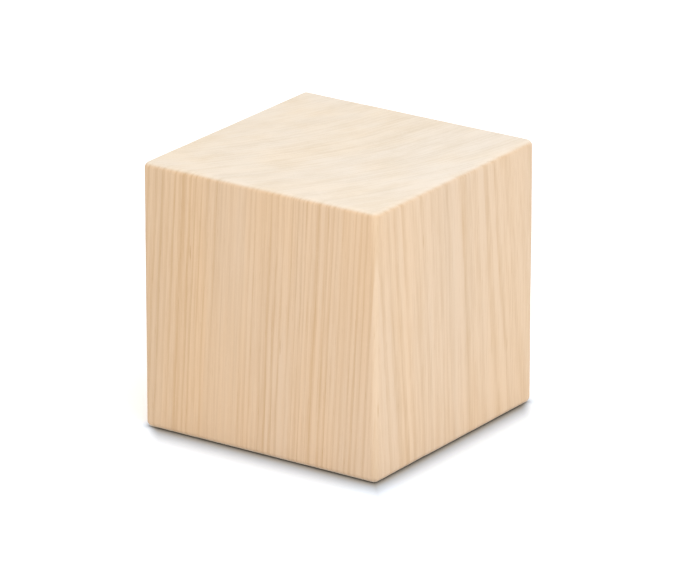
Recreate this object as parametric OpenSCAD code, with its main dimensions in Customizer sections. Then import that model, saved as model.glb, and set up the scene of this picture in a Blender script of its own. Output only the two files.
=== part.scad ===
// Wooden cube: one solid block of pale, close-grained hardwood, sawn square and
// sanded until every edge and corner is lightly eased.
// Millimetres, +Z up. The origin is the middle of the face that the cube stands on.
// The grain runs up Z: the top and bottom are end grain, the four sides long grain.

/* [Block] */
// Length of every side, from face to face
side_len = 50.8; // [20:0.1:150]

/* [Sanding] */
// Radius of the round that sanding leaves on the edges and corners
ease_r = 1; // [0.2:0.05:4]

/* [Hidden] */

// Flat length left between the two rounds of a side
flat_len = side_len - 2 * ease_r;
// Steps drawn round a full turn of each eased edge
round_steps = 64;
// Colour of bare birch
birch = [0.91, 0.80, 0.67];
// The two directions along an axis from the middle of the block
both_ways = [-1, 1];
// Turns that carry a rod standing along Z to lie along Z, Y and X
edge_turns = [[0, 0, 0], [90, 0, 0], [0, 90, 0]];

// Three crossed boxes: each gives two opposite faces, as wide as the flats between the rounds
module flats() {
    cube([side_len, flat_len, flat_len], center = true);
    cube([flat_len, side_len, flat_len], center = true);
    cube([flat_len, flat_len, side_len], center = true);
}

// The four eased edges that run along Z, before they are turned
module edge_rounds() {
    for (x = both_ways, y = both_ways)
        translate([x, y, 0] * flat_len / 2)
            cylinder(r = ease_r, h = flat_len, center = true, $fn = round_steps);
}

// The eight corners, where three eased edges run into a ball of the same radius
module corner_rounds() {
    for (x = both_ways, y = both_ways, z = both_ways)
        translate([x, y, z] * flat_len / 2)
            sphere(r = ease_r, $fn = round_steps);
}

module wooden_cube() {
    color(birch)
        translate([0, 0, side_len / 2])
            union() {
                flats();
                for (turn = edge_turns)
                    rotate(turn) edge_rounds();
                corner_rounds();
            }
}

wooden_cube();
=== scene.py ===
"""A bare birch block, sawn square with its grain upright and sanded by hand until the edges are eased."""
import math

import bpy
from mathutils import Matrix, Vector


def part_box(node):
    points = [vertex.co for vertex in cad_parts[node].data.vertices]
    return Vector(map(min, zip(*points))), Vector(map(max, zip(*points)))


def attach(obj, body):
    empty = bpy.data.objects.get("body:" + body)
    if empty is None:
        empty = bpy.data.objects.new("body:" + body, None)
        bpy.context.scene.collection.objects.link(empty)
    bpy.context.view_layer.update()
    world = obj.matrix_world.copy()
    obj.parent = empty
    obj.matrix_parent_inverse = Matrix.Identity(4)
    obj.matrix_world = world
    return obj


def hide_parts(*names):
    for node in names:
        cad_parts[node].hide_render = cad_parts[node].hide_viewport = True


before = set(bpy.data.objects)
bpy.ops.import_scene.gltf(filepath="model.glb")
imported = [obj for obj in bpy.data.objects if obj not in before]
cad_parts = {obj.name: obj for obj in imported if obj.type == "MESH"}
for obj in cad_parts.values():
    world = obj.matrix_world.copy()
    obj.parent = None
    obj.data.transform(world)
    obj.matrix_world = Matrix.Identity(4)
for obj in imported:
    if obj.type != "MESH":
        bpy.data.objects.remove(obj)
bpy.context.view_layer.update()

# Meshes, lamps and the camera are in metres. The pattern of the wood and the painted shade are in
# millimetres.
MM = 0.001
low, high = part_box("wooden_cube")
SIDE = high.x - low.x
MIDDLE = (low + high) / 2

# The block's eased edges, the cells that sanding moves, and a narrow row of them beside each edge
EASE = 1.0 * MM
ROUND_STEPS = 8
CELLS_ACROSS = 60
EDGE_ROW = 0.12 * MM

# Where the block was cut from: how far along the trunk its middle was, where the pith lay beside it,
# how far from the pith the heartwood ends and the sapwood starts, and the rings' radius at the block
ALONG_TRUNK = -229.0
PITH_X = -103.13
PITH_Y = 47.0
HEARTWOOD_ENDS = 112.0
SAPWOOD_STARTS = 144.0
RING_RADIUS = 125.0

# How dark the line at the end of a year is, in the faintest year and in the strongest
FAINT_YEAR = 0.345
STRONG_YEAR = 0.765

# Colours of the wood: side grain and end grain, each pale and dark, the end grain's painted paler to stand
# in for the light on the top, then stains and tints laid over them
SIDE_PALE = (0.845, 0.641, 0.452, 1)
SIDE_DARK = (0.60, 0.378, 0.177, 1)
END_PALE_PAINTED_LIT = (0.873, 0.760, 0.630, 1)
END_DARK_PAINTED_LIT = (0.695, 0.563, 0.395, 1)
COOL_STAIN = (0.982, 1.0, 1.032, 1)
WARM_STAIN = (1.020, 0.998, 0.955, 1)
# The heartwood stain is partly the wood's own warmth and partly painted shade, darker towards the block's
# left and back
HEART_STAIN_AND_SHADE = (0.965, 0.935, 0.88, 1)
# A deeper, more amber tint on faces that run along the rings' radius
QUARTER_CUT_TINT = (0.925, 0.835, 0.735, 1)

# The floor: its size, where it starts and ends to grow whiter, its paint, and how the shade painted on it
# is tinted
FLOOR_SIZE = 6.0
FLOOR_NEAR = 0.10
FLOOR_FAR = 0.40
FLOOR_PAINT = (0.85, 0.85, 0.85)
FLOOR_WHITE = (1.0, 1.0, 1.0, 1)
FADING_SHADE = (0.93, 1.0, 1.09, 1)
DEEP_SHADE = (1.07, 1.0, 0.89, 1)

# The block's shade, painted on the floor: how far out the block stands on it, which way the painted shade
# falls and how far, how soft its sides are inwards and outwards, and how far the painted rim and contact
# reach
STANDS = (SIDE / 2 - EASE) / MM
SHADE_AZIMUTH = math.radians(40.0)
SHADE_REACH = 13.0
SOFT_INWARDS = 1.0
SOFT_OUTWARDS = 2.0
RIM_REACH = 3.5
CONTACT_REACH = 2.0

# How dark the painted shade is at its deepest, how much of it the rim and the contact have, and how much
# the floor's colour is painted darker there for the light that it throws back, a painted shade on the block
SHADE_DEPTH = 0.88
RIM_SHADE = 0.64
CONTACT_SHADE = 0.4
PAINTED_BOUNCE_LOSS = 0.5


# ---------------------------------------------------------------- the block

def clear_selection():
    """Nothing stays selected, so that the next operator acts on new work alone."""
    bpy.ops.object.select_all(action="DESELECT")


def cut_across(axis, places):
    """Cuts every face that crosses these planes, which stand square to one axis."""
    for place in places:
        bpy.ops.mesh.select_all(action="SELECT")
        bpy.ops.mesh.bisect(plane_co=MIDDLE + axis * place, plane_no=axis)


def saw_block():
    """The block as sawn: a cube with rounded edges, cut into small cells that sanding can move."""
    clear_selection()
    bpy.ops.mesh.primitive_cube_add(size=SIDE, location=MIDDLE)
    block = bpy.context.object
    block.name = "birch_block"
    bpy.ops.object.transform_apply(location=True, rotation=True, scale=True)
    bpy.ops.object.mode_set(mode="EDIT")
    bpy.ops.mesh.select_all(action="SELECT")
    bpy.ops.mesh.bevel(offset_type="OFFSET", offset=EASE, segments=ROUND_STEPS, profile=0.5, affect="EDGES")
    flat = SIDE - 2 * EASE
    places = [flat * ((i + 1) / (CELLS_ACROSS + 1) - 0.5) for i in range(CELLS_ACROSS)]
    places += [EDGE_ROW - flat / 2, flat / 2 - EDGE_ROW]
    for axis in (Vector((1, 0, 0)), Vector((0, 1, 0)), Vector((0, 0, 1))):
        cut_across(axis, places)
    bpy.ops.object.mode_set(mode="OBJECT")
    return block


def past_flat(point):
    """How far a point lies past the flats along each axis, as a share of the easing, largest first.

    On an edge two of the three are more than 0, and at a corner all three."""
    reach = SIDE / 2 - EASE
    offset = point - MIDDLE
    return sorted((max(0.0, (abs(part) - reach) / EASE) for part in offset), reverse=True)


def mark_eased(block):
    """Vertex groups for the sanding: the flats, what is rounded along the edges, and the corners."""
    edges = block.vertex_groups.new(name="eased_edges")
    corners = block.vertex_groups.new(name="eased_corners")
    flats = block.vertex_groups.new(name="flats")
    for vertex in block.data.vertices:
        past = past_flat(vertex.co)
        on_edge = min(1.0, 2 * past[1])
        on_corner = min(1.0, 2.2 * past[2])
        if on_edge > 0:
            edges.add([vertex.index], on_edge, "REPLACE")
        if on_corner > 0:
            corners.add([vertex.index], on_corner, "REPLACE")
        flats.add([vertex.index], 1.0 - on_edge, "REPLACE")


def sand(block, group, waver_size, depth):
    """Takes wood off a vertex group by an uneven amount, never more than depth and never outwards."""
    waver = bpy.data.textures.new(group + "_waver", type="CLOUDS")
    waver.noise_scale = waver_size
    waver.noise_depth = 2
    rub = block.modifiers.new(group, "DISPLACE")
    rub.texture = waver
    rub.texture_coords = "LOCAL"
    rub.vertex_group = group
    rub.direction = "NORMAL"
    rub.mid_level = 1.0
    rub.strength = depth
    clear_selection()
    block.select_set(True)
    bpy.context.view_layer.objects.active = block
    bpy.ops.object.modifier_apply(modifier=rub.name)


# ---------------------------------------------------------------- shader tools

def put(tree, kind, **settings):
    """A new node in a tree, with its settings."""
    made = tree.nodes.new(kind)
    for name, value in settings.items():
        setattr(made, name, value)
    return made


def feed(tree, socket, value):
    """Joins a value to a socket: another socket is linked, a number or a colour is written in."""
    if isinstance(value, bpy.types.NodeSocket):
        tree.links.new(value, socket)
    else:
        socket.default_value = value


def sums(tree, operation, first, second=0.0, third=0.0, clamp=False):
    """One step of arithmetic."""
    made = put(tree, "ShaderNodeMath", operation=operation, use_clamp=clamp)
    feed(tree, made.inputs[0], first)
    feed(tree, made.inputs[1], second)
    feed(tree, made.inputs[2], third)
    return made.outputs[0]


def lay_on(tree, start, parts):
    """Adds parts to a value, each with its share."""
    total = start
    for part, share in parts:
        total = sums(tree, "MULTIPLY_ADD", part, share, total)
    return total


def blend_by(tree, share, at_none, at_full):
    """A number that goes from one value to another as the share goes from 0 to 1."""
    return sums(tree, "MULTIPLY_ADD", share, at_full - at_none, at_none)


def spread(tree, value, from_low, from_high, to_low=0.0, to_high=1.0, smooth=True):
    """A value carried from one range to another, held at the ends."""
    made = put(tree, "ShaderNodeMapRange", interpolation_type="SMOOTHSTEP" if smooth else "LINEAR")
    for name, part in (("Value", value), ("From Min", from_low), ("From Max", from_high),
                       ("To Min", to_low), ("To Max", to_high)):
        feed(tree, made.inputs[name], part)
    return made.outputs["Result"]


def parts_of(tree, vector):
    """The three parts of a vector."""
    split = put(tree, "ShaderNodeSeparateXYZ")
    tree.links.new(vector, split.inputs[0])
    return split.outputs


def vector_of(tree, first, second, third):
    """A vector from three numbers."""
    made = put(tree, "ShaderNodeCombineXYZ")
    for socket, part in zip(made.inputs, (first, second, third)):
        feed(tree, socket, part)
    return made.outputs[0]


def divide_place(tree, place, cell):
    """A place counted in cells."""
    made = put(tree, "ShaderNodeVectorMath", operation="DIVIDE")
    tree.links.new(place, made.inputs[0])
    tree.links.new(cell, made.inputs[1])
    return made.outputs[0]


def stretch(tree, place, across, along):
    """Place in millimetres made into cells: so many millimetres across the grain and along it."""
    return divide_place(tree, place, vector_of(tree, across, across, along))


def noise(tree, place, detail=2.0, rough=0.5):
    """Soft noise from 0 to 1, about 0.5 on average, in cells of size 1."""
    made = put(tree, "ShaderNodeTexNoise", noise_dimensions="3D")
    feed(tree, made.inputs["Vector"], place)
    feed(tree, made.inputs["Scale"], 1.0)
    feed(tree, made.inputs["Detail"], detail)
    feed(tree, made.inputs["Roughness"], rough)
    return made.outputs["Fac"]


def chance(tree, number):
    """An even chance from 0 to 1, the same every time for the same number."""
    made = put(tree, "ShaderNodeTexWhiteNoise", noise_dimensions="1D")
    tree.links.new(number, made.inputs["W"])
    return made.outputs["Value"]


def tint(tree, share, first, second, blend="MIX"):
    """Two colours mixed by a share."""
    made = put(tree, "ShaderNodeMix", data_type="RGBA", blend_type=blend, clamp_factor=True)
    feed(tree, made.inputs["Factor"], share)
    feed(tree, made.inputs[6], first)
    feed(tree, made.inputs[7], second)
    return made.outputs[2]


def new_group(name, inputs, outputs):
    """An empty shader group with named inputs (name, kind, value) and outputs (name, kind)."""
    group = bpy.data.node_groups.new(name, "ShaderNodeTree")
    for title, kind, value in inputs:
        socket = group.interface.new_socket(title, in_out="INPUT", socket_type=kind)
        if value is not None:
            socket.default_value = value
    for title, kind in outputs:
        group.interface.new_socket(title, in_out="OUTPUT", socket_type=kind)
    return group, put(group, "NodeGroupInput").outputs, put(group, "NodeGroupOutput").inputs


def place_group(tree, group, **values):
    """A group placed in a material with its own values. An underscore in a name stands for a space."""
    made = put(tree, "ShaderNodeGroup", node_tree=group)
    for name, value in values.items():
        feed(tree, made.inputs[name.replace("_", " ")], value)
    return made.outputs


FLOAT = "NodeSocketFloat"
VECTOR = "NodeSocketVector"


# ---------------------------------------------------------------- effects in the wood

def growth_rings():
    """Year rings round a pith outside the block: a radius that wavers, cut into years of uneven width.

    Lean is how much the trunk leans, Waver how much the rings waver, and Feather how many millimetres
    the fibres break up the edge of a year. First Year picks which years the block holds.

    Late Wood is the dark line that ends a year, and Year Tone sets each year a little apart.
    Heart is 1 in the older, warmer wood near the pith and 0 in the paler wood near the bark, and the stain
    it carries also paints shade.
    Quarter Cut is 1 where a face runs along the rings' radius and 0 where it faces pith or bark.
    Grain is the place seen from the pith: out from it, round it and up the trunk, in millimetres."""
    group, given, out = new_group(
        "growth_rings",
        [("Place", VECTOR, None), ("Normal", VECTOR, None),
         ("Pith X", FLOAT, PITH_X), ("Pith Y", FLOAT, PITH_Y), ("Lean", FLOAT, -0.03),
         ("Year Width", FLOAT, 1.08), ("First Year", FLOAT, 100.0),
         ("Waver", FLOAT, 1.0), ("Feather", FLOAT, 0.35)],
        [("Late Wood", FLOAT), ("Year Tone", FLOAT), ("Heart", FLOAT), ("Quarter Cut", FLOAT),
         ("Grain", VECTOR)])
    right, back, up = parts_of(group, given["Place"])
    east = sums(group, "SUBTRACT", right, given["Pith X"])
    north = sums(group, "SUBTRACT", back, given["Pith Y"])
    distance = sums(group, "SQRT", sums(group, "ADD", sums(group, "MULTIPLY", east, east),
                                        sums(group, "MULTIPLY", north, north)))

    slow = noise(group, stretch(group, given["Place"], across=55.0, along=160.0), detail=1.0)
    quick = noise(group, stretch(group, given["Place"], across=11.0, along=60.0), detail=1.0)
    fibre = noise(group, stretch(group, given["Place"], across=1.5, along=16.0), detail=3.0, rough=0.6)
    leaned = sums(group, "MULTIPLY_ADD", up, given["Lean"], distance)
    radius = lay_on(group, leaned, ((slow, sums(group, "MULTIPLY", given["Waver"], 5.0)),
                                    (quick, sums(group, "MULTIPLY", given["Waver"], 0.7))))
    feathered = sums(group, "MULTIPLY_ADD", fibre, given["Feather"], radius)

    years = sums(group, "ADD", sums(group, "DIVIDE", feathered, given["Year Width"]), given["First Year"])
    uneven = put(group, "ShaderNodeTexNoise", noise_dimensions="1D")
    feed(group, uneven.inputs["W"], years)
    feed(group, uneven.inputs["Scale"], 0.31)
    feed(group, uneven.inputs["Detail"], 1.0)
    years = sums(group, "MULTIPLY_ADD", uneven.outputs["Fac"], 1.4, years)
    through = sums(group, "FRACT", years)
    year = sums(group, "FLOOR", years)
    darkens = spread(group, through, 0.20, 0.76)
    ends = spread(group, through, 1.0, 0.72)
    strength = blend_by(group, sums(group, "POWER", chance(group, year), 1.5), FAINT_YEAR, STRONG_YEAR)
    late = sums(group, "MULTIPLY", sums(group, "MULTIPLY", darkens, ends), strength)
    group.links.new(late, out["Late Wood"])
    group.links.new(chance(group, sums(group, "ADD", year, 0.5)), out["Year Tone"])
    group.links.new(spread(group, radius, SAPWOOD_STARTS, HEARTWOOD_ENDS), out["Heart"])

    outward = vector_of(group, sums(group, "DIVIDE", east, distance),
                        sums(group, "DIVIDE", north, distance), 0)
    facing = put(group, "ShaderNodeVectorMath", operation="DOT_PRODUCT")
    group.links.new(outward, facing.inputs[0])
    group.links.new(given["Normal"], facing.inputs[1])
    flat_cut = sums(group, "ABSOLUTE", facing.outputs["Value"])
    group.links.new(sums(group, "SUBTRACT", 1.0, flat_cut), out["Quarter Cut"])
    turn = sums(group, "MULTIPLY", sums(group, "ARCTAN2", north, east), RING_RADIUS)
    group.links.new(vector_of(group, radius, turn, up), out["Grain"])
    return group


def streaks():
    """Soft streaks in cells of three sizes: out from the pith, round it and up the trunk. From -1 to 1."""
    group, given, out = new_group(
        "streaks",
        [("Grain", VECTOR, None), ("Thickness", FLOAT, 0.3), ("Breadth", FLOAT, 0.3),
         ("Length", FLOAT, 12.0), ("Detail", FLOAT, 2.0)],
        [("Streak", FLOAT)])
    cell = vector_of(group, given["Thickness"], given["Breadth"], given["Length"])
    value = noise(group, divide_place(group, given["Grain"], cell), detail=given["Detail"], rough=0.55)
    group.links.new(sums(group, "MULTIPLY_ADD", value, 2.0, -1.0), out["Streak"])
    return group


def vessels():
    """Fine pores: short hair lines along the grain, and dots where the saw has cut across it."""
    group, given, out = new_group(
        "vessels",
        [("Place", VECTOR, None), ("Spacing", FLOAT, 0.4), ("Length", FLOAT, 7.0), ("Bore", FLOAT, 0.13)],
        [("Pore", FLOAT)])
    cells = put(group, "ShaderNodeTexVoronoi", voronoi_dimensions="3D", feature="F1")
    feed(group, cells.inputs["Vector"], stretch(group, given["Place"], given["Spacing"], given["Length"]))
    feed(group, cells.inputs["Scale"], 1.0)
    edge = sums(group, "MULTIPLY", given["Bore"], 0.45)
    group.links.new(spread(group, cells.outputs["Distance"], given["Bore"], edge), out["Pore"])
    return group


def faces_of_block():
    """Which way a face looks: 1 on the end grain, and 1 on what the sanding has rounded."""
    group, given, out = new_group(
        "faces_of_block",
        [("Normal", VECTOR, None)],
        [("End Grain", FLOAT), ("Eased", FLOAT)])
    size = put(group, "ShaderNodeVectorMath", operation="ABSOLUTE")
    group.links.new(given["Normal"], size.inputs[0])
    across, deep, up = parts_of(group, size.outputs[0])
    squarest = sums(group, "MAXIMUM", sums(group, "MAXIMUM", across, deep), up)
    group.links.new(spread(group, up, 0.35, 0.9), out["End Grain"])
    group.links.new(spread(group, squarest, 0.995, 0.9), out["Eased"])
    return group


# ---------------------------------------------------------------- the birch

def streak(tree, group, at, size, detail=2.0):
    """One layer of streaks. Its size is in millimetres: out from the pith, round it and up the trunk."""
    thickness, breadth, length = size
    placed = place_group(tree, group, Grain=at, Thickness=thickness, Breadth=breadth, Length=length,
                         Detail=detail)
    return placed["Streak"]


def stained(tree, share, wood, stain):
    """Wood with a stain laid over it by a share."""
    return tint(tree, share, wood, tint(tree, 1.0, wood, stain, "MULTIPLY"))


def bare_birch():
    """Unfinished birch with fine pores, soft year rings and a sanded sheen, its end grain, top and bottom,
    painted paler to stand in for the light on the top.
    """
    material = bpy.data.materials.new("bare_birch")
    material.use_nodes = True
    tree = material.node_tree
    shader = tree.nodes["Principled BSDF"]
    where = put(tree, "ShaderNodeTexCoord")
    mapping = put(tree, "ShaderNodeMapping")
    tree.links.new(where.outputs["Object"], mapping.inputs["Vector"])
    mapping.inputs["Scale"].default_value = (1 / MM, 1 / MM, 1 / MM)
    mapping.inputs["Location"].default_value = (0, 0, ALONG_TRUNK - MIDDLE.z / MM)
    place = mapping.outputs["Vector"]

    faces = place_group(tree, faces_of_block(), Normal=where.outputs["Normal"])
    end = faces["End Grain"]
    eased = faces["Eased"]
    rings = place_group(tree, growth_rings(), Place=place, Normal=where.outputs["Normal"])
    grain = rings["Grain"]
    late = rings["Late Wood"]

    # Streaks of all sizes, from hairs to broad drifts, then rays and pores
    kind = streaks()
    layer = streak(tree, kind, grain, (0.38, 10.0, 40.0))
    hair = streak(tree, kind, grain, (0.20, 0.30, 11.0))
    ribbon = streak(tree, kind, grain, (1.3, 2.4, 60.0))
    band = streak(tree, kind, grain, (2.8, 9.0, 110.0))
    cloud = streak(tree, kind, place, (17.0, 17.0, 45.0))
    calm = streak(tree, kind, grain, (9.0, 30.0, 150.0), detail=0.0)
    blush = streak(tree, kind, grain, (0.9, 6.0, 30.0))
    patch = streak(tree, kind, grain, (4.2, 11.0, 60.0))
    drift = streak(tree, kind, grain, (11.0, 20.0, 80.0), detail=1.0)
    fleck = streak(tree, kind, grain, (3.5, 0.16, 0.6), detail=1.0)
    ray = spread(tree, fleck, 0.14, 0.44)
    pores = vessels()
    fine = place_group(tree, pores, Place=place, Spacing=0.38, Length=7.0, Bore=0.15)["Pore"]
    coarse = place_group(tree, pores, Place=place, Spacing=2.6, Length=32.0, Bore=0.06)["Pore"]

    # How dark the wood is: lines along the grain, calmer in places and on the end, then all that is
    # wider, the pores, the pale rays and the eased edges painted a little paler, partly for sanding and
    # partly as a painted highlight
    quarter = sums(tree, "MULTIPLY", rings["Quarter Cut"], sums(tree, "SUBTRACT", 1.0, end))
    lines = sums(tree, "MULTIPLY", late, blend_by(tree, quarter, 0.41, 0.81))
    lines = lay_on(tree, lines, ((layer, blend_by(tree, quarter, 0.33, 0.44)),
                                 (rings["Year Tone"], 0.10), (hair, 0.34)))
    lines = sums(tree, "MULTIPLY", lines, blend_by(tree, end, 1.0, 0.66))
    dark = sums(tree, "MULTIPLY_ADD", lines, sums(tree, "MULTIPLY_ADD", calm, 0.7, 0.85), 0.04)
    dark = lay_on(tree, dark, ((ribbon, blend_by(tree, end, 0.12, 0.14)),
                               (band, blend_by(tree, end, 0.07, 0.40)),
                               (cloud, blend_by(tree, end, 0.03, 0.34)),
                               (fine, 0.24), (coarse, 0.45), (ray, -0.06), (eased, -0.04), (end, 0.045)))

    # Its colour: side or end grain, the end grain painted paler for the light on the top, cool and warm
    # stains, the heartwood stain that also paints shade, and a deeper tint where a face is cut on the
    # quarter
    wood = tint(tree, end, tint(tree, dark, SIDE_PALE, SIDE_DARK), tint(tree, dark, END_PALE_PAINTED_LIT, END_DARK_PAINTED_LIT))
    warmth = lay_on(tree, 0.5, ((blush, 0.35), (patch, 0.8)))
    warmth = sums(tree, "MULTIPLY_ADD", drift, 1.0, warmth, clamp=True)
    hues = tint(tree, warmth, COOL_STAIN, WARM_STAIN)
    wood = tint(tree, blend_by(tree, end, 1.0, 0.7), wood, hues, "MULTIPLY")
    # Heartwood warmth and painted shade together: darker towards the pith, on the block's left and back,
    # half as much on the end grain
    wood = tint(tree, blend_by(tree, end, 1.0, 0.5), wood, stained(tree, rings["Heart"], wood, HEART_STAIN_AND_SHADE))
    # Deeper and more amber where a face runs along the rings' radius
    wood = stained(tree, quarter, wood, QUARTER_CUT_TINT)
    tree.links.new(wood, shader.inputs["Base Color"])

    rough = lay_on(tree, 0.62, ((hair, 0.05), (fine, 0.12), (ray, -0.08), (end, 0.06)))
    tree.links.new(rough, shader.inputs["Roughness"])
    shader.inputs["IOR"].default_value = 1.45
    shader.inputs["Sheen Weight"].default_value = 0.2
    shader.inputs["Sheen Roughness"].default_value = 0.5

    relief = lay_on(tree, 0.0, ((fine, -0.8), (hair, 0.30), (coarse, -1.0), (late, 0.2)))
    bump = put(tree, "ShaderNodeBump")
    bump.inputs["Strength"].default_value = 1.0
    bump.inputs["Distance"].default_value = 0.012 * MM
    tree.links.new(relief, bump.inputs["Height"])
    tree.links.new(bump.outputs["Normal"], shader.inputs["Normal"])
    return material


block = saw_block()
mark_eased(block)
sand(block, "flats", waver_size=28 * MM, depth=0.03 * MM)
sand(block, "eased_edges", waver_size=7 * MM, depth=0.10 * MM)
sand(block, "eased_corners", waver_size=4 * MM, depth=0.16 * MM)
bpy.ops.object.shade_smooth()
block.data.materials.append(bare_birch())
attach(block, "root")
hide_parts("wooden_cube")


# ---------------------------------------------------------------- floor, light and camera

def seen_directly(tree):
    """1 for what the camera sees, straight or mirrored, and 0 for light that goes on to the block."""
    ray = put(tree, "ShaderNodeLightPath").outputs
    mirrored = sums(tree, "MAXIMUM", ray["Is Glossy Ray"], ray["Is Transmission Ray"])
    return sums(tree, "MAXIMUM", ray["Is Camera Ray"], mirrored)


def fading(tree, gap, reach):
    """1 where the gap is none, falling fast and then slowly to 0 at its reach."""
    return sums(tree, "POWER", spread(tree, gap, 0.0, reach, 1.0, 0.0, smooth=False), 2.0)


def gap_to_block(tree, right, front):
    """How far a point of the floor is from where the block stands, in millimetres."""
    squares = []
    for offset in (right, front):
        out = sums(tree, "MAXIMUM", sums(tree, "SUBTRACT", sums(tree, "ABSOLUTE", offset), STANDS), 0.0)
        squares.append(sums(tree, "MULTIPLY", out, out))
    return sums(tree, "SQRT", sums(tree, "ADD", *squares))


def painted_cast_shade(tree, right, front):
    """The painted shade that falls forward and to the right: a strip as wide as the block is from that
    side, with nothing behind the block or on its left."""
    ahead, aside = math.cos(SHADE_AZIMUTH), math.sin(SHADE_AZIMUTH)
    past_right = sums(tree, "DIVIDE", sums(tree, "SUBTRACT", right, STANDS), aside)
    past_front = sums(tree, "DIVIDE", sums(tree, "SUBTRACT", front, STANDS), ahead)
    fall = fading(tree, sums(tree, "MAXIMUM", past_right, past_front), SHADE_REACH)
    sideways = sums(tree, "SUBTRACT", sums(tree, "MULTIPLY", right, ahead),
                    sums(tree, "MULTIPLY", front, aside))
    half_width = STANDS * (ahead + aside)
    within = spread(tree, sums(tree, "ABSOLUTE", sideways), half_width + SOFT_OUTWARDS,
                    half_width - SOFT_INWARDS)
    before = spread(tree, sums(tree, "MINIMUM", right, front), -STANDS - SOFT_INWARDS, -STANDS)
    return sums(tree, "MULTIPLY", fall, sums(tree, "MULTIPLY", within, before))


def painted_floor_shade(tree, place):
    """How much shade is painted on a point of the floor, from 1 where the block stands to 0 in the open.

    The painted shade falls a short way forward and to the right, as a shadow would under a light high
    behind the block, where no lamp stands. A narrow rim of it lies all round, and the last of the floor
    before the block is painted darker still."""
    parts = parts_of(tree, place)
    right = sums(tree, "DIVIDE", parts[0], MM)
    front = sums(tree, "DIVIDE", parts[1], -MM)
    gap = gap_to_block(tree, right, front)
    rim = sums(tree, "MULTIPLY", fading(tree, gap, RIM_REACH), RIM_SHADE)
    shade = sums(tree, "MAXIMUM", painted_cast_shade(tree, right, front), rim)
    contact = sums(tree, "MULTIPLY", fading(tree, gap, CONTACT_REACH), CONTACT_SHADE)
    return sums(tree, "MULTIPLY_ADD", sums(tree, "SUBTRACT", 1.0, shade), contact, shade)


def dimmed(tree, colour, share):
    """A colour made darker or brighter by a share."""
    made = put(tree, "ShaderNodeVectorMath", operation="SCALE")
    feed(tree, made.inputs[0], colour)
    feed(tree, made.inputs["Scale"], share)
    return made.outputs[0]


def white_floor(gain, far_gain):
    """A wide white floor. The camera sees it at full white, and whiter still far off, where it meets the
    white of the room. Round the block a shade is painted on it in grey: cool where it fades, brown where it
    is deep. Where the painted shade is deepest, the floor's colour is also painted darker for the light
    that it throws back on the block."""
    clear_selection()
    bpy.ops.mesh.primitive_plane_add(size=FLOOR_SIZE, location=(0, 0, 0))
    floor = bpy.context.object
    floor.name = "studio_floor"
    material = bpy.data.materials.new("white_floor")
    material.use_nodes = True
    tree = material.node_tree
    tree.nodes.remove(tree.nodes["Principled BSDF"])
    where = put(tree, "ShaderNodeTexCoord").outputs["Object"]
    away = put(tree, "ShaderNodeVectorMath", operation="LENGTH")
    tree.links.new(where, away.inputs[0])
    whiteness = spread(tree, away.outputs["Value"], FLOOR_NEAR, FLOOR_FAR, gain, far_gain)

    # The painted shade is cool from its first touch, and brown from half of its depth on
    shade = painted_floor_shade(tree, where)
    cast = tint(tree, spread(tree, shade, 0.0, 0.1), FLOOR_WHITE, FADING_SHADE)
    cast = tint(tree, spread(tree, shade, 0.50, 0.90), cast, DEEP_SHADE)
    lit = sums(tree, "MULTIPLY", sums(tree, "MULTIPLY_ADD", shade, -SHADE_DEPTH, 1.0), whiteness)
    # Painted shade on the block: the floor's colour for the light it throws back is darker where its
    # painted shade is deepest
    painted_bounce = sums(tree, "MULTIPLY_ADD", sums(tree, "POWER", shade, 3.0), -PAINTED_BOUNCE_LOSS, 1.0)
    on_block = dimmed(tree, FLOOR_PAINT, painted_bounce)
    on_camera = dimmed(tree, cast, lit)
    paint = put(tree, "ShaderNodeBsdfDiffuse")
    feed(tree, paint.inputs["Color"], tint(tree, seen_directly(tree), on_block, on_camera))
    tree.links.new(paint.outputs[0], tree.nodes["Material Output"].inputs["Surface"])
    floor.data.materials.append(material)


def white_room(fill):
    """White behind the block for the camera, and a soft even fill on the block."""
    world = bpy.data.worlds.new("white_room")
    bpy.context.scene.world = world
    world.use_nodes = True
    tree = world.node_tree
    back = tree.nodes["Background"]
    back.inputs["Color"].default_value = (1, 1, 1, 1)
    tree.links.new(blend_by(tree, seen_directly(tree), fill, 1.0), back.inputs["Strength"])


def place_at(item, azimuth, elevation, distance):
    """Sets a light or the camera round the block, looking at its middle, so many metres away.

    Azimuth 0 is in front of the block and 90 on its right."""
    around, up = math.radians(azimuth), math.radians(elevation)
    away = Vector((math.sin(around) * math.cos(up), -math.cos(around) * math.cos(up), math.sin(up)))
    holder = bpy.data.objects.new(item.name, item)
    bpy.context.scene.collection.objects.link(holder)
    holder.location = MIDDLE + away * distance
    holder.rotation_mode = "QUATERNION"
    holder.rotation_quaternion = away.to_track_quat("Z", "Y")
    return holder


def soft_box(name, size, power, **at):
    """A square soft light that looks at the block."""
    lamp = bpy.data.lights.new(name, "AREA")
    lamp.shape = "SQUARE"
    lamp.size = size
    lamp.energy = power
    place_at(lamp, **at)


def camera_at(lens, **at):
    """The camera, aimed at the middle of the block."""
    data = bpy.data.cameras.new("camera")
    data.sensor_width = 36.0
    data.lens = lens
    data.clip_start = 0.01
    bpy.context.scene.camera = place_at(data, **at)


white_floor(gain=1.22, far_gain=1.82)
white_room(fill=0.75)
soft_box("top_soft_box", size=0.9, power=2.4, azimuth=20.0, elevation=88.0, distance=1.0)
soft_box("key_soft_box", size=0.5, power=1.0, azimuth=52.0, elevation=35.0, distance=0.6)
camera_at(lens=320.0, azimuth=34.7, elevation=19.7, distance=1.095)
bpy.context.scene.view_settings.view_transform = "Standard"
